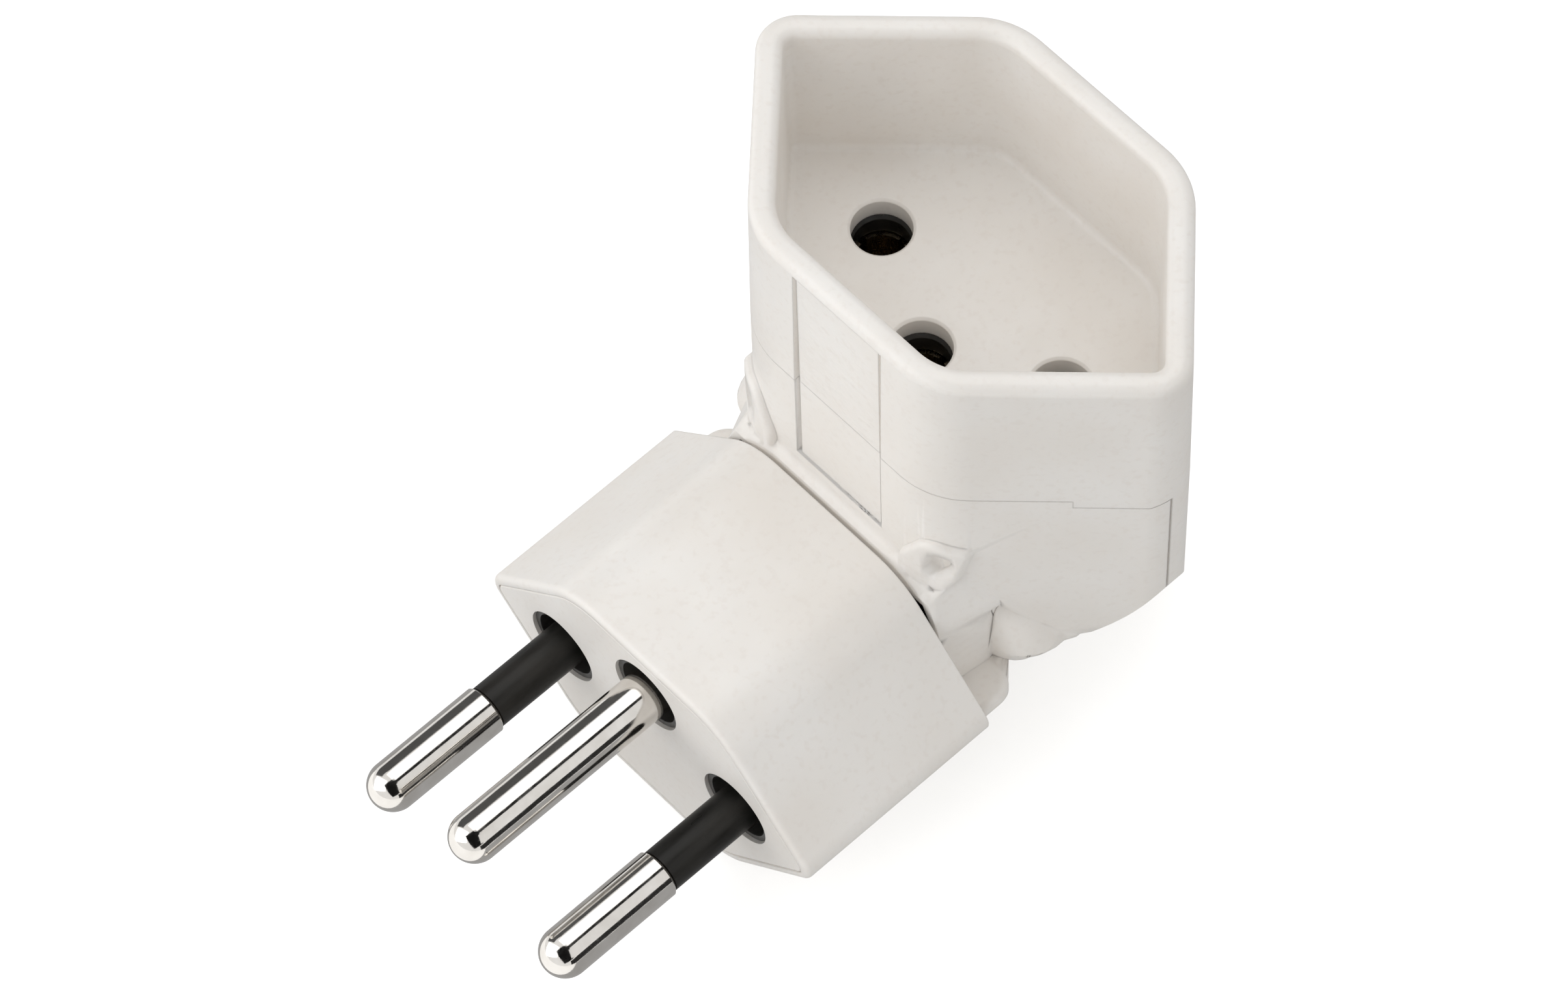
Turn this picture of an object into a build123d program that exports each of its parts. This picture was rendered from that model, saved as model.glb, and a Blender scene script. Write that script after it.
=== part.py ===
from build123d import *

import math
import os

os.makedirs("parts", exist_ok=True)

# Right-angle adapter for a three-pin plug, in millimetres. X runs across the plug, Y along it
# from the pin tips into the body, and Z up out of the socket. The origin is the middle of the
# plug's pin face, half way between the live and the neutral pin.

# Pins of the plug
pin_pitch = 19.0
earth_offset = 5.0
pin_diameter = 4.0
pin_reach = 19.0
pin_junction = 7.5
pin_junction_chamfer = 0.3
pin_core_diameter = 3.0
sleeve_diameter = 3.6
sleeve_depth = 4.0
pin_shank_diameter = 3.2
pin_collar_diameter = 5.0
pin_collar_start = 7.0
pin_collar_length = 2.0

# Outline of the plug: a flat six-sided lens with broad shoulders and blunt tips
plug_half = 18.0
plug_flat = 8.1
plug_rise = 10.25
plug_centre_z = -0.05
plug_tip_radius = 1.6
plug_shoulder_radius = 6.6
plug_length = 18.5
plug_wall = 1.3
plug_rim_inset = 0.75
plug_edge_radius = 0.5
groove_width = 0.4

# Face plate and the pin carrier behind it
plate_thickness = 1.4
well_diameter = 6.6
well_collar_wall = 0.45
well_collar_setback = 0.3
well_depth = 4.0
carrier_bar_height = 4.2
carrier_pocket_size = (5.6, 3.4)
carrier_pocket_depth = 8.0
carrier_pocket_centre = (5.4, 5.4)

# Spigot, flange and neck of the lower shell
spigot_length = 4.0
spigot_wall = 0.9
flange_thickness = 1.2
flange_inset = 0.15
flange_edge_radius = 0.3

# Neck between the flange and the socket's end walls: its right-hand side at the front and rear
neck_front = [(10.5, 8.5), (11.5, 5.6), (12.6, -1.0)]
neck_rear = [(11.3, 11.2), (13.3, 7.2), (13.1, -1.0)]
neck_corner_radii = (5.0, 2.4)
neck_wall = 0.65
neck_end = plug_length + 5.1
neck_keel_inset = 0.9
knuckle_top_z = -0.95
knuckle_inner_x = 11.0
knuckle_outer_x = 16.1
knuckle_inset = 0.2
knuckle_end = plug_length + 4.7
knuckle_plan_radius = 2.4
knuckle_round = 0.7

# Outline of the socket: six sides, with pointed ends level with the live and neutral holes
socket_y = plug_length + 14.8
socket_half = 22.54
socket_flat = 9.4
socket_rise = 13.34
socket_tip_radius = 3.0
socket_corner_radius = 7.0
socket_draft = 0.16
socket_rim_z = 37.0
socket_wall = 2.0
recess_draft = 0.25
rim_outer_radius = 0.9
rim_inner_radius = 0.8
floor_z = 22.3
floor_thickness = 1.9
floor_fillet = 0.6
socket_hole_diameter = 4.7
socket_hole_edge = 0.2

# Joint between the two shells: level round the front, then down at the two tips to the rear skirt
parting_z = 21.85
parting_gap = 0.06
parting_step = 0.85
parting_step_x = 16.85
parting_rise_x = 20.8
parting_rise_width = 1.1
tip_joint_y = plug_length + 14.4
tip_joint_gap = 0.18
skirt_bottom_z = 3.0
shell_wall = 1.8
lip_depth = 2.6
lip_thickness = 0.7
lip_inset = shell_wall - lip_thickness

# Recessed panel on the side above the plug
panel_half = 4.4
panel_bottom_z = 11.7
panel_top_z = 36.0
panel_depth = 0.25
panel_line = 0.35

# Body under the socket
tail_tip = (17.9, 1.7)
tail_top = (7.8, 10.2)
tail_bottom_x = 7.3
tail_tip_radius = 3.0
tail_start = plug_length + 4.4
tail_corner_radius = 3.6
keel_radius = 7.0
wing_points = [(16.4, 1.0), (18.0, 2.5), (20.0, 5.3), (21.0, 7.4), (21.8, 9.6), (22.6, 13.5)]
cove_size = 0.8

# Arched ears on the socket's corners behind the flange
ear_outline = [(6.6, 8.2), (6.8, 11.8), (8.9, 15.5), (12.0, 14.7), (11.3, 10.8), (10.3, 8.2)]
ear_radii = [0.0, 2.4, 1.8, 0.6, 2.0, 0.0]
ear_proud = 0.8
ear_edge_radius = 0.5
ear_start = plug_length + 0.1
ear_pocket = [(9.1, 11.6), (9.4, 13.6), (10.2, 14.2), (11.0, 13.9), (11.2, 13.2), (10.5, 11.9), (9.8, 10.8)]
ear_pocket_radius = 0.35
ear_pocket_depth = 0.9

# Contacts, conductor strips and the parts that hold them
contact_offset = 5.0
contact_bore = 4.0
contact_wall = 0.55
contact_base = 0.9
contact_top_z = 18.0
contact_slot = 0.6
contact_slot_z = 9.0
spring_thickness = 0.35
spring_height = 3.0
spring_z = 14.5
spring_gap = 2.0
strip_width = 3.6
strip_thickness = 0.8
strip_top_z = 3.0
strip_start = plug_length + 1.9
strip_overhang = 2.6
strip_bend = (1.0, 0.2)
rivet_diameter = 2.2
rivet_head_diameter = 3.4
rivet_head = 0.7
rivet_head_chamfer = 0.3
contact_carrier_plate = 2.0
contact_tube_wall = 1.1
contact_web = 1.6
pin_entry_diameter = 4.4
pin_entry_chamfer = 0.5
tray_thickness = 2.0
tray_corner_radius = 2.0
tray_well_diameter = 4.6
tray_size = (24.6, 13.8)
tray_centre_y = plug_length + 13.8
post_size = (3.0, 3.0)

# Running clearances between pieces that fit together
fit_gap = 0.1
slip_gap = 0.05

half_pitch = pin_pitch / 2
pin_radius = pin_diameter / 2
flange_start = plug_length + groove_width
flange_end = flange_start + flange_thickness
spigot_start = flange_start - spigot_length
spigot_inset = plug_wall + fit_gap
passage_inset = spigot_inset + spigot_wall
carrier_step = spigot_start - 2 * fit_gap
floor_under_z = floor_z - floor_thickness
plug_bottom_z = plug_centre_z - plug_rise
strip_under_z = strip_top_z - strip_thickness
earth_contact_y = socket_y - contact_offset
tray_under_z = strip_under_z - tray_thickness
poles = {"live": -half_pitch, "neutral": half_pitch}
contacts = {
    "live": (-half_pitch, socket_y),
    "neutral": (half_pitch, socket_y),
    "earth": (0.0, earth_contact_y),
}


def six_sided(half, flat, rise, tip_radius, corner_radius, inset=0.0):
    """Outline with two flat sides and pointed ends, moved inwards by the inset."""
    slope = math.hypot(half - flat, rise)
    tip = half - inset * slope / rise
    corner = flat - inset * (slope - (half - flat)) / rise
    top = rise - inset
    points = [(tip, 0), (corner, top), (-corner, top), (-tip, 0), (-corner, -top), (corner, -top)]
    tip_round = max(tip_radius - inset, 0.3)
    corner_round = max(corner_radius - inset, 0.3)
    radii = [tip_round, corner_round, corner_round, tip_round, corner_round, corner_round]
    return make_face(FilletPolyline(*points, radius=radii, close=True).edges())


def plug_section(inset=0.0):
    """Section of the plug, drawn with X across and Z up."""
    section = six_sided(plug_half, plug_flat, plug_rise, plug_tip_radius, plug_shoulder_radius, inset)
    return Pos(0, plug_centre_z) * section


def socket_section(inset=0.0):
    """Section of the socket, centred between the live and neutral holes."""
    return six_sided(socket_half, socket_flat, socket_rise, socket_tip_radius, socket_corner_radius, inset)


def mirrored_polygon(points):
    """Face with the given right-hand corners and their mirror image."""
    left = [(-x, z) for x, z in reversed(points)]
    return make_face(Polyline(*points, *left, close=True).edges())


def along_plug(section, start, end):
    """Solid of a section in X and Z, between two distances behind the pin face."""
    plane = Plane(origin=(0, end, 0), x_dir=(1, 0, 0), z_dir=(0, -1, 0))
    return extrude(plane * section, end - start)


def up_socket(section, low, high):
    """Solid of a socket section between two heights."""
    return extrude(Pos(0, socket_y, low) * section, high - low)


def drafted(low_section, low, high_section, high):
    """Solid that runs straight from one socket section to another."""
    return loft([Pos(0, socket_y, low) * low_section, Pos(0, socket_y, high) * high_section], ruled=True)


def rod_y(diameter, start, end, x=0.0, z=0.0):
    """Cylinder along the plug."""
    return Pos(x, (start + end) / 2, z) * Rot(90, 0, 0) * Cylinder(diameter / 2, end - start)


def rod_z(diameter, low, high, x=0.0, y=0.0):
    """Upright cylinder."""
    return Pos(x, y, (low + high) / 2) * Cylinder(diameter / 2, high - low)


def block(x_range, y_range, z_range):
    """Box between three pairs of limits."""
    size = [high - low for low, high in (x_range, y_range, z_range)]
    centre = [(high + low) / 2 for low, high in (x_range, y_range, z_range)]
    return Pos(*centre) * Box(*size)


def pin_wells(diameter, start, end):
    """Three cylinders on the pins' axes."""
    wells = rod_y(diameter, start, end, 0, earth_offset)
    for x in poles.values():
        wells += rod_y(diameter, start, end, x, 0)
    return wells


def turned_pin(profile, x, z):
    """Round pin from a half profile of radius and length, set on its axis."""
    tip = ThreePointArc(
        (0, -pin_reach),
        (pin_radius * math.sin(math.pi / 4), -pin_reach + pin_radius * (1 - math.cos(math.pi / 4))),
        (pin_radius, -pin_reach + pin_radius),
    )
    side = Polyline((pin_radius, -pin_reach + pin_radius), *profile, (0, profile[-1][1]), (0, -pin_reach))
    face = make_face([tip.edge()] + side.edges())
    return Pos(x, 0, z) * revolve(face, Axis.Y)


def pin_tail():
    """Half profile of the part of every pin from its collar to its riveted end."""
    collar_end = pin_collar_start + pin_collar_length
    rivet_end = strip_start + strip_thickness
    return [
        (pin_collar_diameter / 2, pin_collar_start),
        (pin_collar_diameter / 2, collar_end),
        (pin_shank_diameter / 2, collar_end),
        (pin_shank_diameter / 2, strip_start),
        (rivet_diameter / 2, strip_start),
        (rivet_diameter / 2, rivet_end),
        (rivet_head_diameter / 2, rivet_end),
        (rivet_head_diameter / 2 - rivet_head_chamfer, rivet_end + rivet_head),
    ]


def pole_pin(x):
    """Live or neutral pin: bare at its free end and thinner under its sleeve."""
    core = pin_core_diameter / 2
    shank = pin_shank_diameter / 2
    profile = [
        (pin_radius, -pin_junction - pin_junction_chamfer),
        (pin_radius - pin_junction_chamfer, -pin_junction),
        (core, -pin_junction),
        (core, sleeve_depth),
        (shank, sleeve_depth),
        (shank, pin_collar_start),
    ]
    return turned_pin(profile + pin_tail(), x, 0)


def earth_pin():
    """Earth pin, bare over its whole length, with a shoulder that seats on the floor of its well."""
    shank = pin_shank_diameter / 2
    profile = [(pin_radius, well_depth), (shank, well_depth), (shank, pin_collar_start)]
    return turned_pin(profile + pin_tail(), 0, earth_offset)


def pin_sleeve(x):
    """Insulating tube round the root of a live or neutral pin."""
    tube = rod_y(sleeve_diameter, -pin_junction, sleeve_depth, x, 0)
    return tube - rod_y(pin_core_diameter, -pin_junction, sleeve_depth, x, 0)


def plug_shell():
    """Outer sleeve of the plug, with a rebate at its front for the face plate."""
    shell = along_plug(plug_section(), 0, plug_length)
    front = shell.edges().filter_by_position(Axis.Y, -0.01, 0.01)
    shell = fillet(front, plug_edge_radius)
    shell -= along_plug(plug_section(plug_rim_inset), -1, plate_thickness)
    return shell - along_plug(plug_section(plug_wall), plate_thickness, plug_length + 1)


def pin_face_plate():
    """Plate that closes the front of the plug round the three pins."""
    plate = along_plug(plug_section(plug_rim_inset + slip_gap), 0, plate_thickness)
    front = plate.edges().filter_by_position(Axis.Y, -0.01, 0.01)
    plate = chamfer(front, 0.12)
    return plate - pin_wells(well_diameter, -1, plate_thickness + 1)


def pin_carrier():
    """Insulator that holds the three pins and shows in the wells of the face plate."""
    carrier = along_plug(plug_section(spigot_inset), plate_thickness, carrier_step)
    bar = block(
        (-half_pitch - carrier_bar_height / 2, half_pitch + carrier_bar_height / 2),
        (carrier_step, strip_start),
        (-carrier_bar_height / 2, carrier_bar_height / 2),
    )
    carrier += fillet(bar.edges().filter_by(Axis.Y), carrier_bar_height / 2 - 0.2)
    carrier += rod_y(carrier_bar_height, carrier_step, strip_start, 0, earth_offset)
    carrier += pin_wells(well_diameter - fit_gap, well_collar_setback, plate_thickness)
    carrier -= pin_wells(well_diameter - fit_gap - 2 * well_collar_wall, -1, well_depth)
    pocket_x, pocket_z = carrier_pocket_centre
    for x, z in ((-pocket_x, -pocket_z), (-pocket_x, pocket_z), (pocket_x, -pocket_z), (pocket_x, pocket_z)):
        width, height = carrier_pocket_size
        pocket = Box(width, 2 * carrier_pocket_depth, height)
        carrier -= Pos(x, carrier_step, z) * pocket
    collar_start = pin_collar_start - slip_gap
    collar_end = pin_collar_start + pin_collar_length + slip_gap
    carrier -= pin_wells(pin_collar_diameter + 2 * slip_gap, collar_start, collar_end)
    return carrier - pin_wells(pin_shank_diameter + 2 * slip_gap, 0, strip_start + 1)


def under_parting(drop=0.0):
    """Everything below the stepped parting line, which may be lowered by a gap."""
    high = parting_z - drop
    low = high - parting_step
    half = socket_half + 5
    outline = [
        (parting_step_x, high),
        (parting_step_x, low),
        (parting_rise_x, low),
        (parting_rise_x + parting_rise_width, high),
        (half, high),
        (half, plug_bottom_z - 5),
    ]
    return along_plug(mirrored_polygon(outline), 0, socket_y + socket_rise + 5)


def rear_skirt_zone(grow=0.0):
    """Everything behind the joints at the two tips and above the lower edge of the rear skirt."""
    half = socket_half + 5
    return block((-half, half), (tip_joint_y - grow, 2 * socket_y), (skirt_bottom_z - grow, socket_rim_z + 1))


def tub_outside():
    """Outside of the body under the socket."""
    tub = up_socket(socket_section(-socket_draft), plug_bottom_z, parting_z)
    return tub & along_plug(hull_section(), 0, 2 * socket_y) & keel_cut()


def tub_inside():
    """Hollow of the body under the socket."""
    hollow = up_socket(socket_section(shell_wall - socket_draft), plug_bottom_z, parting_z + 1)
    return hollow & along_plug(hull_section(shell_wall), 0, 2 * socket_y) & keel_cut(shell_wall)


def socket_holes(diameter, low, high):
    """Three upright cylinders on the axes of the socket's holes."""
    holes = Part()
    for x, y in contacts.values():
        holes += rod_z(diameter, low, high, x, y)
    return holes


def panel_cut(low, high):
    """Shallow recess between two grooved lines on the side above the plug."""
    face_y = socket_y - socket_rise
    cut = block((-panel_half, panel_half), (face_y - 2, face_y - socket_draft + panel_depth), (low, high))
    for x in (-panel_half, panel_half):
        cut += block(
            (x - panel_line / 2, x + panel_line / 2),
            (face_y - 2, face_y - socket_draft + 2 * panel_depth),
            (low, high),
        )
    return cut


def socket_collar():
    """Upper shell: the six-sided collar, the recess with its floor, and the skirt at the rear."""
    top_z = socket_rim_z
    outer = drafted(socket_section(-socket_draft), parting_z, socket_section(), top_z)
    recess = drafted(socket_section(socket_wall + recess_draft), floor_z, socket_section(socket_wall), top_z)
    collar = outer - recess
    rim = collar.faces().filter_by_position(Axis.Z, top_z - 0.01, top_z + 0.01)[0]
    collar = fillet(rim.outer_wire().edges(), rim_outer_radius)
    rim = collar.faces().filter_by_position(Axis.Z, top_z - 0.01, top_z + 0.01)[0]
    collar = fillet(rim.inner_wires()[0].edges(), rim_inner_radius)
    floor = collar.faces().filter_by_position(Axis.Z, floor_z - 0.01, floor_z + 0.01)[0]
    collar = fillet(floor.outer_wire().edges(), floor_fillet)
    skirt = (tub_outside() - tub_inside()) & rear_skirt_zone()
    step = up_socket(socket_section(-socket_draft), parting_z - parting_step, parting_z) - under_parting()
    step -= up_socket(socket_section(lip_inset + lip_thickness), parting_z - parting_step - 1, parting_z)
    lip = up_socket(socket_section(lip_inset), parting_z - lip_depth, parting_z)
    lip -= up_socket(socket_section(lip_inset + lip_thickness), parting_z - lip_depth, floor_under_z)
    collar += skirt + step + lip
    collar -= socket_holes(socket_hole_diameter, floor_under_z - 1, floor_z + 1)
    rims = [e for e in collar.edges().filter_by(GeomType.CIRCLE) if abs(e.center().Z - floor_z) < 0.01]
    rims = [e for e in rims if abs(e.radius - socket_hole_diameter / 2) < 0.01]
    collar = chamfer(rims, socket_hole_edge)
    return collar - panel_cut(parting_z - 5, panel_top_z)


def tail_section(inset=0.0):
    """Section of the body's lower part: fuller above its blunt tips than below them."""
    (tip_x, tip_z), (top_x, top_z) = tail_tip, tail_top
    right = [(tail_bottom_x, plug_bottom_z), (tip_x, tip_z), (top_x, top_z)]
    left = [(-x, z) for x, z in reversed(right)]
    radii = [plug_shoulder_radius, tail_tip_radius, plug_shoulder_radius]
    outline = make_face(FilletPolyline(*right, *left, radius=radii + radii, close=True).edges())
    return offset(outline, -inset, kind=Kind.INTERSECTION) if inset else outline


def hull_section(inset=0.0):
    """Section of the body under the socket, wider above and curved in to its lower part."""
    side = socket_half + 5
    top = socket_rim_z
    faces = tail_section(inset)
    for sign in (-1, 1):
        curve = Spline(*[(sign * (x - inset), z) for x, z in wing_points])
        start = curve @ 0
        end = curve @ 1
        rest = Polyline(end, (sign * side, end.Y), (sign * side, top), (0, top), (0, 0), start)
        faces += make_face([curve.edge()] + rest.edges())
    return faces


def keel_cut(inset=0.0):
    """Side profile of the body under the socket, with a round lower rear edge."""
    rear = socket_y + socket_rise + socket_draft - inset
    bottom = plug_bottom_z + inset
    radius = keel_radius - inset
    points = [(flange_start, bottom), (rear, bottom), (rear, socket_rim_z), (flange_start, socket_rim_z)]
    profile = make_face(FilletPolyline(*points, radius=[0, radius, 0, 0], close=True).edges())
    return extrude(Plane.YZ * profile, socket_half + 5, both=True)


def tail():
    """Front of the body behind the neck, with round corners in plan."""
    half = tail_tip[0]
    outline = [(-half, tail_start), (half, tail_start), (half, socket_y), (-half, socket_y)]
    radii = [tail_corner_radius, tail_corner_radius, 0, 0]
    plan = make_face(FilletPolyline(*outline, radius=radii, close=True).edges())
    return along_plug(tail_section(), tail_start, socket_y) & (Pos(0, 0, -half) * extrude(plan, 2 * half))


def neck_side(points, radius, y, inset=0.0):
    """Section of the neck above the knuckles, at one distance behind the pin face."""
    right = [(x - inset, z - (inset if i == 0 else 0)) for i, (x, z) in enumerate(points)]
    left = [(-x, z) for x, z in reversed(right)]
    radii = [0, radius, 0, 0, radius, 0]
    face = make_face(FilletPolyline(*right, *left, radius=radii, close=True).edges())
    return Plane(origin=(0, y, 0), x_dir=(1, 0, 0), z_dir=(0, -1, 0)) * face


def neck(inset=0.0, overrun=0.0, keel_inset=neck_keel_inset):
    """Neck between the flange and the body: side walls above, the plug's outline below."""
    front_radius, rear_radius = neck_corner_radii
    front = neck_side(neck_front, front_radius, flange_start, inset)
    rear = neck_side(neck_rear, rear_radius, neck_end, inset)
    body = loft([front, rear], ruled=True)
    if overrun:
        body += extrude(front, overrun, dir=(0, -1, 0)) + extrude(rear, 2 * overrun, dir=(0, 1, 0))
    side = neck_front[-1][0] - inset
    low = neck_front[-1][1]
    keel = mirrored_polygon([(side, low), (side, plug_bottom_z)]) & plug_section(keel_inset)
    return body + along_plug(keel, flange_start - overrun, neck_end + 2 * overrun)


def ear_sketch(points, radii, side):
    """Outline of one ear or of its pocket, drawn with X across and Z up."""
    return make_face(FilletPolyline(*[(side * x, z) for x, z in points], radius=radii, close=True).edges())


def ears():
    """Two arched ears that stand on the socket's corners behind the flange."""
    around = up_socket(socket_section(-ear_proud), 0, parting_z - 1)
    pads = Part()
    for side in (-1, 1):
        pad = along_plug(ear_sketch(ear_outline, ear_radii, side), ear_start, socket_y) & around
        outside = [face for face in pad.faces() if face.normal_at().Y < -0.3]
        borders = [edge for face in outside for edge in face.outer_wire().edges()]
        rims = [e for e in borders if sum((e.center() - other.center()).length < 0.001 for other in borders) == 1]
        pads += fillet(rims, ear_edge_radius)
    return pads


def ear_pockets():
    """Hollows inside the two ears."""
    around = up_socket(socket_section(-ear_proud - 1), 0, parting_z - 1)
    around -= up_socket(socket_section(ear_pocket_depth - ear_proud), 0, parting_z - 1)
    pockets = Part()
    for side in (-1, 1):
        radii = [ear_pocket_radius] * len(ear_pocket)
        pockets += along_plug(ear_sketch(ear_pocket, radii, side), ear_start, socket_y) & around
    return pockets


def cove():
    """Hollow blend between the flange's upper edge and the wall above it."""
    wall_y = socket_y - socket_rise - socket_draft
    steps = [(0.0, 1.0), (0.3, 0.45), (0.65, 0.13), (1.0, 0.0)]
    sections = []
    for back, out in steps:
        plane = Plane(origin=(0, wall_y - back * cove_size, 0), x_dir=(1, 0, 0), z_dir=(0, -1, 0))
        sections.append(plane * plug_section(flange_inset - out * cove_size))
    blend = loft(sections, ruled=True)
    reach = neck_front[0][0]
    return blend & block((-reach, reach), (flange_start, socket_y), (neck_front[0][1] - 3, socket_rim_z))


def knuckles():
    """Rounded ends of the plug's lower half that run on behind the flange at the two tips."""
    pair = Part()
    for side in (-1, 1):
        outline = [
            (side * knuckle_inner_x, flange_start),
            (side * knuckle_outer_x, flange_start),
            (side * knuckle_outer_x, knuckle_end),
            (side * knuckle_inner_x, knuckle_end),
        ]
        radii = [0, 0, knuckle_plan_radius, 0]
        plan = make_face(FilletPolyline(*outline, radius=radii, close=True).edges())
        zone = Pos(0, 0, knuckle_top_z - plug_rise) * extrude(plan, plug_rise)
        knuckle = along_plug(plug_section(knuckle_inset), flange_start, knuckle_end + 1) & zone
        top = knuckle.faces().sort_by(Axis.Z)[-1]
        inner = side * knuckle_inner_x
        rims = [e for e in top.edges() if abs(e.center().X - inner) > 0.1 and e.center().Y > flange_start + 0.1]
        pair += fillet(rims, knuckle_round)
    return pair


def lower_shell():
    """Lower shell: spigot, flange, neck and the front of the body under the socket."""
    shell = tub_outside() + tail() + neck() + ears() + cove() + knuckles()
    flange = along_plug(plug_section(flange_inset), flange_start, flange_end)
    rims = flange.edges().group_by(Axis.Y)
    flange = fillet(rims[0] + rims[-1], flange_edge_radius)
    zone = along_plug(mirrored_polygon(neck_front + [(neck_front[-1][0], plug_bottom_z)]), 0, flange_end + 1)
    zone += block((-neck_front[0][0], neck_front[0][0]), (0, flange_end + 1), (0, socket_rim_z))
    shell += flange & zone
    shell += along_plug(plug_section(spigot_inset), spigot_start, flange_start)
    shell -= tub_inside()
    shell -= along_plug(tail_section(shell_wall), tail_start + shell_wall, socket_y)
    shell -= neck(neck_wall, spigot_wall, passage_inset)
    shell -= along_plug(plug_section(passage_inset), spigot_start - 1, flange_start - spigot_wall)
    shell -= ear_pockets()
    shell -= up_socket(socket_section(lip_inset - slip_gap), parting_z - lip_depth - slip_gap, parting_z + 1)
    shell = shell & under_parting(parting_gap)
    shell -= rear_skirt_zone(tip_joint_gap)
    shell -= panel_cut(panel_bottom_z, parting_z + 1)
    return shell + tray_posts()


def tray_posts():
    """Posts on the floor of the tub that carry the strip tray."""
    width, depth = post_size
    posts = Part()
    for x in (-half_pitch / 2, half_pitch / 2):
        for y in (tray_centre_y - tray_size[1] / 3, tray_centre_y + tray_size[1] / 3):
            low = plug_bottom_z + shell_wall / 2
            posts += Pos(x, y, (low + tray_under_z) / 2) * Box(width, depth, tray_under_z - low)
    return posts


def contact(x, y):
    """Slotted tube that grips a pin, with a riveted foot."""
    outer = contact_bore / 2 + contact_wall
    body = rod_z(2 * outer, strip_top_z, contact_top_z, x, y)
    body -= rod_z(contact_bore, strip_top_z + contact_base, contact_top_z + 1, x, y)
    slot = block((-outer - 1, outer + 1), (-contact_slot / 2, contact_slot / 2), (contact_slot_z, contact_top_z + 1))
    for turn in (0, 90):
        body -= Pos(x, y) * Rot(0, 0, turn) * slot
    body += rod_z(rivet_diameter, strip_under_z, strip_top_z, x, y)
    return body + rod_z(rivet_head_diameter, strip_under_z - rivet_head, strip_under_z, x, y)


def contact_spring(x, y):
    """Open steel ring that presses the contact's fingers together."""
    inner = contact_bore + 2 * contact_wall
    ring = rod_z(inner + 2 * spring_thickness, spring_z, spring_z + spring_height, x, y)
    ring -= rod_z(inner, spring_z, spring_z + spring_height, x, y)
    reach = inner / 2 + spring_thickness + 1
    gap = block((x, x + reach), (y - spring_gap / 2, y + spring_gap / 2), (spring_z - 1, spring_z + spring_height + 1))
    return ring - gap


def conductor_strip(x, y, pin_z):
    """Bent strip from the tail of a pin to the foot of its contact."""
    reach = strip_width / 2 + 0.5
    tab_end = pin_z - reach if pin_z < strip_top_z else pin_z + reach
    tab_near = strip_start
    tab_far = strip_start + strip_thickness
    end = y + strip_overhang
    if tab_end < strip_under_z:
        points = [
            (tab_near, tab_end), (tab_near, strip_top_z), (end, strip_top_z),
            (end, strip_under_z), (tab_far, strip_under_z), (tab_far, tab_end),
        ]
    else:
        points = [
            (tab_near, tab_end), (tab_near, strip_under_z), (end, strip_under_z),
            (end, strip_top_z), (tab_far, strip_top_z), (tab_far, tab_end),
        ]
    outer_bend, inner_bend = strip_bend
    radii = [0, outer_bend, 0, 0, inner_bend, 0]
    profile = make_face(FilletPolyline(*points, radius=radii, close=True).edges())
    strip = Pos(x, 0, 0) * extrude(Plane.YZ * profile, strip_width / 2, both=True)
    strip -= rod_y(rivet_diameter + 2 * slip_gap, tab_near - 1, tab_far + 1, x, pin_z)
    return strip - rod_z(rivet_diameter + 2 * slip_gap, strip_under_z - 1, strip_top_z + 1, x, y)


def contact_carrier():
    """Insulator under the floor, with a tube round each contact."""
    plate_low = floor_under_z - contact_carrier_plate
    inset = lip_inset + lip_thickness + fit_gap
    carrier = up_socket(socket_section(inset), plate_low, floor_under_z)
    bore = contact_bore + 2 * contact_wall + 2 * spring_thickness + 2 * fit_gap
    tube = bore + 2 * contact_tube_wall
    carrier += socket_holes(tube, strip_top_z, plate_low)
    for side in (-1, 1):
        web = block((0, half_pitch), (-contact_web / 2, contact_web / 2), (contact_slot_z, plate_low))
        angle = math.degrees(math.atan2(contact_offset, side * half_pitch))
        carrier += Pos(0, earth_contact_y) * Rot(0, 0, angle) * web
    carrier -= socket_holes(bore, strip_top_z - 1, plate_low)
    carrier -= socket_holes(pin_entry_diameter, plate_low - 1, floor_under_z + 1)
    mouths = [e for e in carrier.edges().filter_by(GeomType.CIRCLE) if abs(e.center().Z - floor_under_z) < 0.01]
    mouths = [e for e in mouths if abs(e.radius - pin_entry_diameter / 2) < 0.01]
    return chamfer(mouths, pin_entry_chamfer)


def strip_tray():
    """Insulating tray under the three strips, on the posts of the lower shell."""
    width, depth = tray_size
    tray = Pos(0, tray_centre_y, strip_under_z - tray_thickness / 2) * Box(width, depth, tray_thickness)
    tray = fillet(tray.edges().filter_by(Axis.Z), tray_corner_radius)
    return tray - socket_holes(tray_well_diameter, tray_under_z - 1, strip_under_z + 1)


def build():
    """All pieces by node name."""
    pieces = {
        "plug_shell": plug_shell(),
        "pin_face_plate": pin_face_plate(),
        "pin_carrier": pin_carrier(),
        "earth_pin": earth_pin(),
        "socket_collar": socket_collar(),
        "lower_shell": lower_shell(),
        "contact_carrier": contact_carrier(),
        "strip_tray": strip_tray(),
    }
    for name, x in poles.items():
        pieces[f"{name}_pin"] = pole_pin(x)
        pieces[f"{name}_pin_sleeve"] = pin_sleeve(x)
    for name, (x, y) in contacts.items():
        pin_z = earth_offset if name == "earth" else 0.0
        pieces[f"{name}_contact"] = contact(x, y)
        pieces[f"{name}_contact_spring"] = contact_spring(x, y)
        pieces[f"{name}_strip"] = conductor_strip(x, y, pin_z)
    return pieces


for node, piece in build().items():
    export_step(piece, f"parts/{node}.step")
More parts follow.
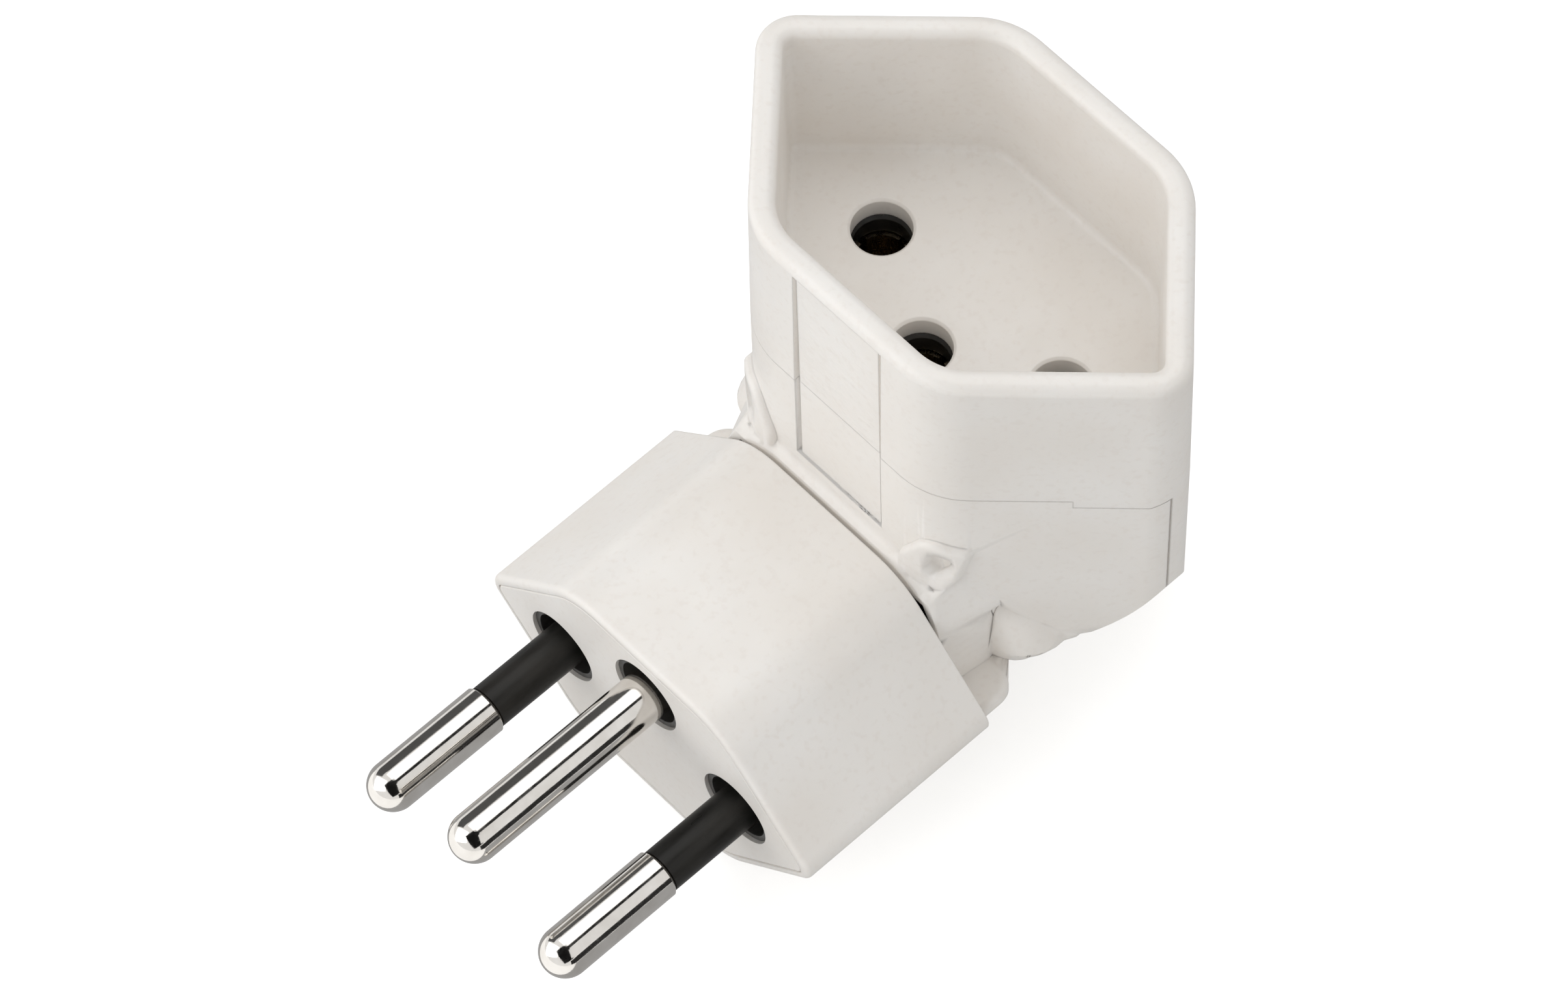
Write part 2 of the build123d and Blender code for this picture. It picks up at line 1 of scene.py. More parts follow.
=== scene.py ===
"""Looks, studio and camera of an angled three-pin plug adapter, laid over its CAD frame.

Lengths in the dataclasses are millimetres, as on the adapter's drawing, and are turned into
metres where a mesh, lamp or camera is made. X runs across the plug, Y from the pin tips into
the body, and Z up out of the socket.
"""
import logging
import math
from dataclasses import dataclass, field
from enum import Enum
from typing import Any

import bmesh
import bpy
import numpy as np
from mathutils import Matrix, Vector


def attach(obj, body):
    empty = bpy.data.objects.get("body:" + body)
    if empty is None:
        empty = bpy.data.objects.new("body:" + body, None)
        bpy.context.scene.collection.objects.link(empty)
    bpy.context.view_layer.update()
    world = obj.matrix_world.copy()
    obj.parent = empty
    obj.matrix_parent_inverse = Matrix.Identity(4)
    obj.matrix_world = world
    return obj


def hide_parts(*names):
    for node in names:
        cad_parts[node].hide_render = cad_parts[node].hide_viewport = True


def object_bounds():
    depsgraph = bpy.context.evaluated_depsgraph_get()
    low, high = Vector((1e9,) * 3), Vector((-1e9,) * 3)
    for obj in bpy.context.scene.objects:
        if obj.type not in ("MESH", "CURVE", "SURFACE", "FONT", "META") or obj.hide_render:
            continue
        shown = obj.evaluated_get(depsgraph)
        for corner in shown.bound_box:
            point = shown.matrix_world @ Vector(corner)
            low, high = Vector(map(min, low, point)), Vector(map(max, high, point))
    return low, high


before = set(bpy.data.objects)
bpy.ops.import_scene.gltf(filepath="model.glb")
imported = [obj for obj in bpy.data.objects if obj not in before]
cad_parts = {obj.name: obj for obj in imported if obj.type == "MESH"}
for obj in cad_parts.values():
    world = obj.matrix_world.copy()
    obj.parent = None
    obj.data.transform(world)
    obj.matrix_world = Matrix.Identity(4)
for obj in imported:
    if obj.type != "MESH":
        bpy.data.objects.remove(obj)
cad_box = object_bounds()

MM = 0.001
WELD = 0.0005 * MM
WHITE = (1.0, 1.0, 1.0, 1.0)
NOISE_SPAN = (0.3, 0.7)
BEVEL_SAMPLES = 6
log = logging.getLogger("plug_adapter")

Colour = tuple[float, float, float]
Point2 = tuple[float, float]
Point3 = tuple[float, float, float]


class RayKind(Enum):
    """Kinds of light ray that a studio object can be seen by."""

    CAMERA = "visible_camera"
    DIFFUSE = "visible_diffuse"
    GLOSSY = "visible_glossy"
    TRANSMISSION = "visible_transmission"
    VOLUME = "visible_volume_scatter"
    SHADOW = "visible_shadow"


class NodeSheet:
    """A node tree that is filled node by node."""

    def __init__(self, tree: bpy.types.NodeTree) -> None:
        """Takes the tree to fill.

        Args:
            tree: A material's, world's or Geometry Nodes tree.
        """
        self.tree = tree

    def add(self, kind: str, inputs: dict[str | int, Any] | None = None, **settings: Any) -> bpy.types.Node:
        """Adds a node, sets its options and fills or links its inputs.

        Args:
            kind: The node's type name.
            inputs: A value or an output socket for each input, by its name or number.
            **settings: The node's own options.

        Returns:
            The new node.
        """
        node = self.tree.nodes.new(kind)
        for name, value in settings.items():
            setattr(node, name, value)
        for name, value in (inputs or {}).items():
            self.feed(node.inputs[name], value)
        return node

    def feed(self, socket: bpy.types.NodeSocket, value: Any) -> None:
        """Links an output to a socket, or sets the socket's value.

        Args:
            socket: The input to fill.
            value: An output socket, or a plain value.
        """
        if isinstance(value, bpy.types.NodeSocket):
            self.tree.links.new(value, socket)
        else:
            socket.default_value = value

    def math(self, operation: str, first: Any, second: Any = 0.0) -> bpy.types.NodeSocket:
        """Adds a Math node.

        Args:
            operation: What it works out, such as MULTIPLY.
            first: Its first value or socket.
            second: Its second value or socket.

        Returns:
            The node's output.
        """
        return self.add("ShaderNodeMath", {0: first, 1: second}, operation=operation).outputs[0]


class FinishSheet(NodeSheet):
    """A material's tree, read in object coordinates so that a pattern stays on its piece."""

    def __init__(self, name: str) -> None:
        """Starts a material with an empty tree, one shader and one output.

        Args:
            name: The material's name.
        """
        self.material = bpy.data.materials.new(name)
        self.material.use_nodes = True
        super().__init__(self.material.node_tree)
        self.tree.nodes.clear()
        self.shader = self.add("ShaderNodeBsdfPrincipled")
        self.add("ShaderNodeOutputMaterial", {"Surface": self.shader.outputs["BSDF"]})
        self.place = self.add("ShaderNodeTexCoord").outputs["Object"]

    def stretched(self, scale: Point3) -> bpy.types.NodeSocket:
        """Object coordinates stretched along the axes.

        Args:
            scale: The factor along each axis.

        Returns:
            The stretched coordinates.
        """
        return self.add("ShaderNodeMapping", {"Vector": self.place, "Scale": scale}).outputs["Vector"]

    def noise(
        self, size: float, detail: float = 2.0, place: bpy.types.NodeSocket | None = None
    ) -> bpy.types.NodeSocket:
        """Soft random pattern.

        Args:
            size: The width of its blots, in millimetres.
            detail: How many finer layers it has.
            place: The coordinates it is read at, or None for the object's own.

        Returns:
            The pattern's strength, from 0 to 1.
        """
        inputs = {"Vector": place or self.place, "Scale": 1 / (size * MM), "Detail": detail}
        return self.add("ShaderNodeTexNoise", inputs).outputs["Fac"]

    def spread(self, value: bpy.types.NodeSocket, low: float, high: float) -> bpy.types.NodeSocket:
        """Maps a noise's usual span to a range.

        Args:
            value: The noise.
            low: What its lower values become.
            high: What its upper values become.

        Returns:
            The mapped value.
        """
        return self.mapped(value, NOISE_SPAN, (low, high))

    def mapped(self, value: bpy.types.NodeSocket, source: Point2, result: Point2) -> bpy.types.NodeSocket:
        """Maps one range to another and holds what lies past its ends.

        Args:
            value: The value to map.
            source: The range that it comes from.
            result: The range that it goes to.

        Returns:
            The mapped value.
        """
        (least, most), (low, high) = source, result
        inputs = {"Value": value, "From Min": least, "From Max": most, "To Min": low, "To Max": high}
        return self.add("ShaderNodeMapRange", inputs).outputs["Result"]

    def blended(self, factor: bpy.types.NodeSocket, first: Any, second: Any) -> bpy.types.NodeSocket:
        """Mixes two colours.

        Args:
            factor: How much of the second one there is.
            first: A colour or a socket.
            second: A colour or a socket.

        Returns:
            The mixed colour.
        """
        node = self.add("ShaderNodeMix", data_type="RGBA")
        self.feed(node.inputs[0], factor)
        for socket, value in ((node.inputs[6], first), (node.inputs[7], second)):
            self.feed(socket, (*value, 1.0) if isinstance(value, tuple) else value)
        return node.outputs[2]

    def softened(self, radius: float) -> bpy.types.NodeSocket:
        """Normal that runs round the piece's edges.

        Args:
            radius: How far round an edge it reaches, in millimetres.

        Returns:
            The normal.
        """
        return self.add("ShaderNodeBevel", {"Radius": radius * MM}, samples=BEVEL_SAMPLES).outputs["Normal"]

    def raised(
        self, height: bpy.types.NodeSocket, depth: float, below: bpy.types.NodeSocket | None = None
    ) -> bpy.types.NodeSocket:
        """Relief on the surface.

        Args:
            height: The relief's pattern, from 0 to 1.
            depth: Its height in millimetres.
            below: The normal it is laid on, or None for the surface's own.

        Returns:
            The new normal.
        """
        inputs = {"Height": height, "Distance": depth * MM, "Strength": 1.0}
        if below is not None:
            inputs["Normal"] = below
        return self.add("ShaderNodeBump", inputs).outputs["Normal"]

    def within(self, axis: int, band: Point2, soft: float) -> bpy.types.NodeSocket:
        """One inside a band of the object and nought outside it.

        Args:
            axis: 0, 1 or 2 for X, Y or Z.
            band: Its two ends, in millimetres.
            soft: The width of its soft ends, in millimetres.

        Returns:
            The mask.
        """
        low, high = band
        value = self.add("ShaderNodeSeparateXYZ", {0: self.place}).outputs[axis]
        ends = []
        for start, stop in ((low - soft, low), (high + soft, high)):
            inputs = {"Value": value, "From Min": start * MM, "From Max": stop * MM}
            ramp = self.add("ShaderNodeMapRange", inputs, interpolation_type="SMOOTHSTEP")
            ends.append(ramp.outputs["Result"])
        return self.math("MULTIPLY", *ends)


@dataclass(frozen=True)
class MouldedWhite:
    """Warm white satin plastic of the shells, a little uneven as mouldings are."""

    name: str = "Moulded white plastic"
    tone: Colour = (0.93, 0.906, 0.874)
    warm_tone: Colour = (0.885, 0.847, 0.80)
    speck_tone: Colour = (0.84, 0.79, 0.74)
    blot: float = 9.0
    speck: float = 0.55
    smooth: float = 0.3
    dull: float = 0.42
    grain: float = 0.32
    grain_depth: float = 0.0035
    wave: float = 5.0
    wave_depth: float = 0.045
    edge: float = 0.16
    refraction: float = 1.5
    glow: float = 0.07
    glow_spread: Point3 = (1.0, 0.85, 0.7)
    glow_depth: float = 0.8
    speck_span: Point2 = (-0.5, 0.35)
    uneven: bool = False
    panel: tuple[Point2, ...] = ((-3.4, 3.4), (15.0, 22.0), (13.5, 33.0))
    panel_fade: Point3 = (0.8, 0.5, 1.5)
    ripple: float = 0.9
    ripple_stretch: Point3 = (0.75, 1.0, 1.3)
    ripple_depth: float = 0.09

    def material(self) -> bpy.types.Material:
        """The finish as a material."""
        sheet = FinishSheet(self.name)
        cloud = sheet.spread(sheet.noise(self.blot, 3.0), 0.0, 1.0)
        specks = sheet.spread(sheet.noise(self.speck, 2.0), *self.speck_span)
        tint = sheet.blended(cloud, self.tone, self.warm_tone)
        sheet.feed(sheet.shader.inputs["Base Color"], sheet.blended(specks, tint, self.speck_tone))
        rough = sheet.spread(sheet.noise(self.blot / 4, 4.0), self.smooth, self.dull)
        sheet.feed(sheet.shader.inputs["Roughness"], rough)
        waved = sheet.raised(sheet.noise(self.wave, 1.0), self.wave_depth, sheet.softened(self.edge))
        normal = sheet.raised(sheet.noise(self.grain, 2.0), self.grain_depth, waved)
        if self.uneven:
            normal = self.uneven_panel(sheet, normal)
        sheet.feed(sheet.shader.inputs["Normal"], normal)
        sheet.shader.inputs["IOR"].default_value = self.refraction
        sheet.shader.inputs["Subsurface Weight"].default_value = self.glow
        sheet.shader.inputs["Subsurface Radius"].default_value = self.glow_spread
        sheet.shader.inputs["Subsurface Scale"].default_value = self.glow_depth * MM
        return sheet.material

    def uneven_panel(self, sheet: FinishSheet, below: bpy.types.NodeSocket) -> bpy.types.NodeSocket:
        """Faint unevenness of the mould on the sunk panel in front, with no signs in it.

        Args:
            sheet: The material's tree.
            below: The normal it is laid on.

        Returns:
            The new normal.
        """
        across, along, upward = (
            sheet.within(axis, band, fade) for axis, (band, fade) in enumerate(zip(self.panel, self.panel_fade))
        )
        front = sheet.math("MULTIPLY", sheet.math("MULTIPLY", across, upward), along)
        ripple = sheet.noise(self.ripple, 3.0, sheet.stretched(self.ripple_stretch))
        return sheet.raised(sheet.math("MULTIPLY", ripple, front), self.ripple_depth, below)


@dataclass(frozen=True)
class InsulatorBlack:
    """Black satin plastic of the sleeves, the pin carrier and the contact carrier."""

    name: str = "Black insulator"
    tone: Colour = (0.0095, 0.0092, 0.0085)
    scuffed: Colour = (0.03, 0.028, 0.025)
    scuff: float = 1.6
    drawn: Point3 = (1.0, 0.18, 1.0)
    smooth: float = 0.26
    dull: float = 0.44
    grain: float = 0.22
    grain_depth: float = 0.005
    edge: float = 0.08
    refraction: float = 1.52
    shine: float = 0.4

    def material(self) -> bpy.types.Material:
        """The finish as a material."""
        sheet = FinishSheet(self.name)
        along = sheet.stretched(self.drawn)
        scuffs = sheet.spread(sheet.noise(self.scuff, 4.0, along), 0.0, 1.0)
        sheet.feed(sheet.shader.inputs["Base Color"], sheet.blended(scuffs, self.tone, self.scuffed))
        rough = sheet.spread(sheet.noise(self.scuff / 2, 3.0, along), self.smooth, self.dull)
        sheet.feed(sheet.shader.inputs["Roughness"], rough)
        normal = sheet.raised(sheet.noise(self.grain, 2.0), self.grain_depth, sheet.softened(self.edge))
        sheet.feed(sheet.shader.inputs["Normal"], normal)
        sheet.shader.inputs["IOR"].default_value = self.refraction
        sheet.shader.inputs["Specular IOR Level"].default_value = self.shine
        return sheet.material


@dataclass(frozen=True)
class PlatedMetal:
    """Drawn or turned metal with fine lines along its length and a slightly clouded shine."""

    name: str
    tone: Colour
    clouded: Colour
    smooth: float = 0.06
    dull: float = 0.14
    cloud: float = 1.4
    line: float = 0.09
    drawn: Point3 = (1.0, 0.04, 1.0)
    line_depth: float = 0.0009
    pit: float = 0.05
    pit_depth: float = 0.0004
    haze_span: Point2 = (0.15, 0.4)

    def material(self) -> bpy.types.Material:
        """The finish as a material."""
        sheet = FinishSheet(self.name)
        along = sheet.stretched(self.drawn)
        clouds = sheet.spread(sheet.noise(self.cloud, 4.0), 0.0, 1.0)
        sheet.feed(sheet.shader.inputs["Base Color"], sheet.blended(clouds, self.tone, self.clouded))
        streaks = sheet.noise(self.line, 3.0, along)
        haze = sheet.math("MULTIPLY", streaks, sheet.noise(self.cloud / 3, 2.0))
        rough = sheet.mapped(haze, self.haze_span, (self.smooth, self.dull))
        sheet.feed(sheet.shader.inputs["Roughness"], rough)
        scored = sheet.raised(streaks, self.line_depth)
        normal = sheet.raised(sheet.noise(self.pit, 1.0), self.pit_depth, scored)
        sheet.feed(sheet.shader.inputs["Normal"], normal)
        sheet.shader.inputs["Metallic"].default_value = 1.0
        return sheet.material


Finish = MouldedWhite | InsulatorBlack | PlatedMetal


class TurnedPartNodes:
    """Geometry Nodes tree that turns a half profile round an axis along Y into a closed round part."""

    SOCKETS = (
        ("Axis X", "NodeSocketFloat"),
        ("Axis Z", "NodeSocketFloat"),
        ("Sides", "NodeSocketInt"),
        ("Weld", "NodeSocketFloat"),
        ("Finish", "NodeSocketMaterial"),
    )
    SHARP_FROM = 32.0

    def __init__(self) -> None:
        """Builds the tree once, for every turned part."""
        self.tree = bpy.data.node_groups.new("Turned part", "GeometryNodeTree")
        self.tree.interface.new_socket("Profile", in_out="INPUT", socket_type="NodeSocketGeometry")
        self.tree.interface.new_socket("Part", in_out="OUTPUT", socket_type="NodeSocketGeometry")
        self.identifiers = {
            name: self.tree.interface.new_socket(name, in_out="INPUT", socket_type=kind).identifier
            for name, kind in self.SOCKETS
        }
        self.build()

    def build(self) -> None:
        """Adds the nodes: a sheet of faces is wound round the axis and welded where it meets."""
        sheet = NodeSheet(self.tree)
        given = sheet.add("NodeGroupInput").outputs
        points = sheet.add("GeometryNodeAttributeDomainSize", {"Geometry": given["Profile"]}, component="MESH")
        count = points.outputs["Point Count"]
        columns = sheet.math("ADD", given["Sides"], 1)
        size = {"Size X": 1.0, "Size Y": 1.0, "Vertices X": columns, "Vertices Y": count}
        faces = sheet.add("GeometryNodeMeshGrid", size).outputs["Mesh"]
        position = sheet.add("GeometryNodeInputPosition").outputs["Position"]
        place = sheet.add("ShaderNodeSeparateXYZ", {0: position}).outputs
        angle = sheet.math("MULTIPLY", sheet.math("ADD", place["X"], 0.5), -2 * math.pi)
        row = sheet.math("MULTIPLY", sheet.math("ADD", place["Y"], 0.5), sheet.math("SUBTRACT", count, 1))
        whole = sheet.add("FunctionNodeFloatToInt", {0: row}, rounding_mode="ROUND").outputs[0]
        inputs = {"Geometry": given["Profile"], "Value": position, "Index": whole}
        sampled = sheet.add("GeometryNodeSampleIndex", inputs, data_type="FLOAT_VECTOR", domain="POINT")
        profile = sheet.add("ShaderNodeSeparateXYZ", {0: sampled.outputs["Value"]}).outputs
        across = sheet.math("MULTIPLY", profile["X"], sheet.math("COSINE", angle))
        upward = sheet.math("MULTIPLY", profile["X"], sheet.math("SINE", angle))
        wound = {
            "X": sheet.math("ADD", across, given["Axis X"]),
            "Y": profile["Y"],
            "Z": sheet.math("ADD", upward, given["Axis Z"]),
        }
        target = sheet.add("ShaderNodeCombineXYZ", wound).outputs[0]
        rolled = sheet.add("GeometryNodeSetPosition", {"Geometry": faces, "Position": target})
        inputs = {"Geometry": rolled.outputs[0], "Distance": given["Weld"]}
        welded = sheet.add("GeometryNodeMergeByDistance", inputs)
        real = sheet.add("GeometryNodeRealizeInstances", {"Geometry": welded.outputs[0]})
        inputs = {"Geometry": real.outputs[0], "Material": given["Finish"]}
        dressed = sheet.add("GeometryNodeSetMaterial", inputs)
        sheet.add("NodeGroupOutput", {0: dressed.outputs[0]})

    def turn(
        self, name: str, profile: list[Point2], axis: Point2, sides: int, finish: bpy.types.Material
    ) -> bpy.types.Object:
        """Turns a profile into a plain mesh that needs the tree no more.

        Args:
            name: The new piece's name.
            profile: Radius and length of each point in turn, in millimetres.
            axis: Where the axis stands in X and Z, in millimetres.
            sides: How many faces go round the part.
            finish: Its material.

        Returns:
            The piece, at the origin, with its place in its mesh.
        """
        mesh = bpy.data.meshes.new(name)
        edges = [(index, index + 1) for index in range(len(profile) - 1)]
        mesh.from_pydata([(radius * MM, length * MM, 0.0) for radius, length in profile], edges, [])
        piece = bpy.data.objects.new(name, mesh)
        bpy.context.scene.collection.objects.link(piece)
        modifier = piece.modifiers.new("Turned part", "NODES")
        modifier.node_group = self.tree
        values = (axis[0] * MM, axis[1] * MM, sides, WELD, finish)
        for (socket, _), value in zip(self.SOCKETS, values):
            modifier[self.identifiers[socket]] = value
        keep_shape(piece)
        piece.data.name = name
        piece.data.shade_smooth()
        piece.data.set_sharp_from_angle(angle=math.radians(self.SHARP_FROM))
        bpy.data.meshes.remove(mesh)
        return piece


def keep_shape(piece: bpy.types.Object) -> None:
    """Makes what a piece's modifiers give its plain mesh, and removes them.

    Args:
        piece: The piece.
    """
    graph = bpy.context.evaluated_depsgraph_get()
    made = bpy.data.meshes.new_from_object(piece.evaluated_get(graph))
    piece.modifiers.clear()
    piece.data = made


def stand_for(piece: bpy.types.Object, node: str) -> bpy.types.Object:
    """Puts a piece in a CAD node's place, on the adapter's one body.

    Args:
        piece: The piece.
        node: The node that it replaces.

    Returns:
        The piece.
    """
    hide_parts(node)
    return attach(piece, "root")


@dataclass
class PinSet:
    """Three turned and plated pins and the two insulating tubes at their roots."""

    pitch: float = 19.0
    earth_rise: float = 5.0
    radius: float = 2.0
    reach: float = 19.0
    junction: float = 7.5
    junction_bevel: float = 0.3
    core_radius: float = 1.5
    shank_radius: float = 1.6
    sleeve_radius: float = 1.8
    sleeve_depth: float = 4.0
    collar_radius: float = 2.5
    collar_ends: Point2 = (7.0, 9.0)
    strip_ends: Point2 = (20.4, 21.2)
    rivet_radius: float = 1.1
    head_radius: float = 1.7
    head_bevel: float = 0.3
    tail_end: float = 21.9
    tip_steps: int = 28
    sides: int = 96
    metal: PlatedMetal = PlatedMetal("Nickel plate", (0.76, 0.735, 0.70), (0.68, 0.65, 0.61))
    rubbed: InsulatorBlack = InsulatorBlack("Black sleeve", edge=0.05, shine=0.16)

    def tip(self) -> list[Point2]:
        """Half profile of the round tip, from the axis out to the barrel."""
        angles = [math.pi / 2 * step / self.tip_steps for step in range(self.tip_steps + 1)]
        centre = self.radius - self.reach
        return [(self.radius * math.sin(angle), centre - self.radius * math.cos(angle)) for angle in angles]

    def tail(self) -> list[Point2]:
        """Half profile behind the insulator's shoulder: collar, shank and riveted end."""
        start, end = self.collar_ends
        first, last = self.strip_ends
        return [
            (self.collar_radius, start),
            (self.collar_radius, end),
            (self.shank_radius, end),
            (self.shank_radius, first),
            (self.rivet_radius, first),
            (self.rivet_radius, last),
            (self.head_radius, last),
            (self.head_radius - self.head_bevel, self.tail_end),
            (0.0, self.tail_end),
        ]

    def pole_profile(self) -> list[Point2]:
        """Half profile of a live or neutral pin, thinner under its tube."""
        end = -self.junction
        return [
            *self.tip(),
            (self.radius, end - self.junction_bevel),
            (self.radius - self.junction_bevel, end),
            (self.core_radius, end),
            (self.core_radius, self.sleeve_depth),
            (self.shank_radius, self.sleeve_depth),
            (self.shank_radius, self.collar_ends[0]),
            *self.tail(),
        ]

    def earth_profile(self) -> list[Point2]:
        """Half profile of the earth pin, bare down to the floor of its well."""
        floor = self.sleeve_depth
        return [
            *self.tip(),
            (self.radius, floor),
            (self.shank_radius, floor),
            (self.shank_radius, self.collar_ends[0]),
            *self.tail(),
        ]

    def sleeve_profile(self) -> list[Point2]:
        """Closed half profile of an insulating tube."""
        front, back = -self.junction, self.sleeve_depth
        outer, inner = self.sleeve_radius, self.core_radius
        return [(outer, front), (outer, back), (inner, back), (inner, front), (outer, front)]

    def build(self, lathe: TurnedPartNodes) -> list[bpy.types.Object]:
        """Makes the five pieces in place of their plain CAD nodes.

        Args:
            lathe: The tree that turns a profile.

        Returns:
            The pieces.
        """
        metal = self.metal.material()
        black = self.rubbed.material()
        half = self.pitch / 2
        rows = (
            ("live_pin", self.pole_profile(), (-half, 0.0), metal),
            ("neutral_pin", self.pole_profile(), (half, 0.0), metal),
            ("earth_pin", self.earth_profile(), (0.0, self.earth_rise), metal),
            ("live_pin_sleeve", self.sleeve_profile(), (-half, 0.0), black),
            ("neutral_pin_sleeve", self.sleeve_profile(), (half, 0.0), black),
        )
        return [
            stand_for(lathe.turn(f"turned_{node}", profile, axis, self.sides, finish), node)
            for node, profile, axis, finish in rows
        ]


@dataclass
class EasedTail:
    """Lower shell whose tail is rounded over where its front meets its slopes.

    Attributes:
        tip: Outermost corner of the tail's section, in X and Z.
        shoulder: Upper corner of its section.
        keel: Lower corner of its section.
        front: Where its front stands in Y.
        corner: Radius of its corners in plan.
        ease: Radius of the rounding at the front.
        fade: Where the rounding starts to shrink and where it ends, in Y.
        inner: How near to the middle the corners reach, in X.
        margin: How far past the tail's front and top the corners reach.
        step: Longest edge that is left there.
        slack: How far off the tail's faces a point may lie and still be on them.
        passes: How often edges are split at most.
        rounds: How often the points are moved.
        probe: Length over which a slope is measured.
        least_steep: Smallest square of a slope.
        least_radius: Radius of the rounding where it has shrunk away.
        sharp_from: Angle from which an edge stays sharp, in degrees.
    """

    tip: Point2 = (17.9, 1.7)
    shoulder: Point2 = (7.8, 10.2)
    keel: Point2 = (7.3, -10.3)
    front: float = 22.9
    corner: float = 3.6
    ease: float = 3.3
    fade: Point2 = (25.6, 30.0)
    inner: float = 8.5
    margin: float = 0.2
    step: float = 0.5
    slack: float = 0.06
    passes: int = 6
    rounds: int = 4
    probe: float = 1e-4
    least_steep: float = 1e-3
    least_radius: float = 1e-6
    sharp_from: float = 26.0

    def section_gap(self, points: np.ndarray) -> np.ndarray:
        """How far points lie outside the tail's section.

        Args:
            points: Places in millimetres, one a row.

        Returns:
            The distances, below nought inside.
        """
        x, z = np.abs(points[:, 0]), points[:, 2]
        gaps = [z - self.shoulder[1], self.keel[1] - z]
        for start, end in ((self.keel, self.tip), (self.tip, self.shoulder)):
            along = np.subtract(end, start) / np.hypot(*np.subtract(end, start))
            gaps.append((x - start[0]) * along[1] - (z - start[1]) * along[0])
        return np.max(gaps, axis=0)

    def plan_gap(self, points: np.ndarray) -> np.ndarray:
        """How far points lie outside the tail's plan, whose front corners are round.

        Args:
            points: Places in millimetres, one a row.

        Returns:
            The distances, below nought inside.
        """
        aside = np.abs(points[:, 0]) - (self.tip[0] - self.corner)
        ahead = self.front + self.corner - points[:, 1]
        beyond = np.hypot(np.maximum(aside, 0), np.maximum(ahead, 0))
        return beyond + np.minimum(np.maximum(aside, ahead), 0) - self.corner

    def eased_gap(self, points: np.ndarray) -> np.ndarray:
        """How far points lie outside the tail once its edges are rounded over.

        Args:
            points: Places in millimetres, one a row.

        Returns:
            The distances, below nought inside.
        """
        share = np.clip((points[:, 1] - self.fade[0]) / (self.fade[1] - self.fade[0]), 0, 1)
        radius = self.ease * (1 - share * share * (3 - 2 * share)) + self.least_radius
        section, plan = self.section_gap(points), self.plan_gap(points)
        rounded = np.hypot(np.maximum(section + radius, 0), np.maximum(plan + radius, 0))
        return np.minimum(np.maximum(section, plan), -radius) + rounded

    def on_corners(self, points: np.ndarray) -> np.ndarray:
        """Whether points lie on the tail, about its corners.

        Args:
            points: Places in millimetres, one a row.

        Returns:
            True or False for each.
        """
        x, y, z = np.abs(points[:, 0]), points[:, 1], points[:, 2]
        near = (x > self.inner) & (y > self.front - self.margin) & (y < self.fade[1] + 1)
        near &= z < self.shoulder[1] + self.margin
        return near & (self.section_gap(points) < self.slack) & (self.plan_gap(points) < self.slack)

    def refine(self, mesh: bmesh.types.BMesh) -> None:
        """Splits the long edges about the tail's corners.

        Args:
            mesh: The shell's mesh, in metres.
        """
        for _ in range(self.passes):
            points = np.array([vertex.co for vertex in mesh.verts]) / MM
            near = self.on_corners(points)
            mesh.verts.ensure_lookup_table()
            mesh.verts.index_update()
            edges = [
                edge for edge in mesh.edges
                if edge.calc_length() > self.step * MM and all(near[vertex.index] for vertex in edge.verts)
            ]
            if not edges:
                return
            bmesh.ops.subdivide_edges(mesh, edges=edges, cuts=1)
            bmesh.ops.triangulate(mesh, faces=[face for face in mesh.faces if len(face.verts) > 3])

    def eased(self, points: np.ndarray) -> np.ndarray:
        """Moves the points that stand outside the rounded tail back onto it.

        Args:
            points: Places in millimetres, one a row.

        Returns:
            The places after the move.
        """
        picked = self.on_corners(points)
        moved = points[picked]
        for _ in range(self.rounds):
            gap = self.eased_gap(moved)
            probes = [self.eased_gap(moved + shift) for shift in np.eye(3) * self.probe]
            slope = np.stack([(probed - gap) / self.probe for probed in probes], axis=1)
            steep = np.maximum((slope ** 2).sum(axis=1), self.least_steep)
            moved = moved - slope * (np.maximum(gap, 0) / steep)[:, None]
        result = points.copy()
        result[picked] = moved
        return result

    def build(self, finish: bpy.types.Material) -> bpy.types.Object:
        """Makes the shell in place of its CAD node.

        Args:
            finish: Its material.

        Returns:
            The shell.
        """
        shaped = bmesh.new()
        shaped.from_mesh(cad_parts["lower_shell"].data)
        bmesh.ops.remove_doubles(shaped, verts=shaped.verts, dist=WELD)
        self.refine(shaped)
        points = self.eased(np.array([vertex.co for vertex in shaped.verts]) / MM)
        for vertex, place in zip(shaped.verts, points):
            vertex.co = place * MM
        mesh = bpy.data.meshes.new("eased_lower_shell")
        shaped.to_mesh(mesh)
        shaped.free()
        mesh.materials.clear()
        mesh.materials.append(finish)
        mesh.shade_smooth()
        mesh.set_sharp_from_angle(angle=math.radians(self.sharp_from))
        piece = bpy.data.objects.new("eased_lower_shell", mesh)
        bpy.context.scene.collection.objects.link(piece)
        weighted = piece.modifiers.new("Weighted normals", "WEIGHTED_NORMAL")
        weighted.keep_sharp = True
        keep_shape(piece)
        return stand_for(piece, "lower_shell")


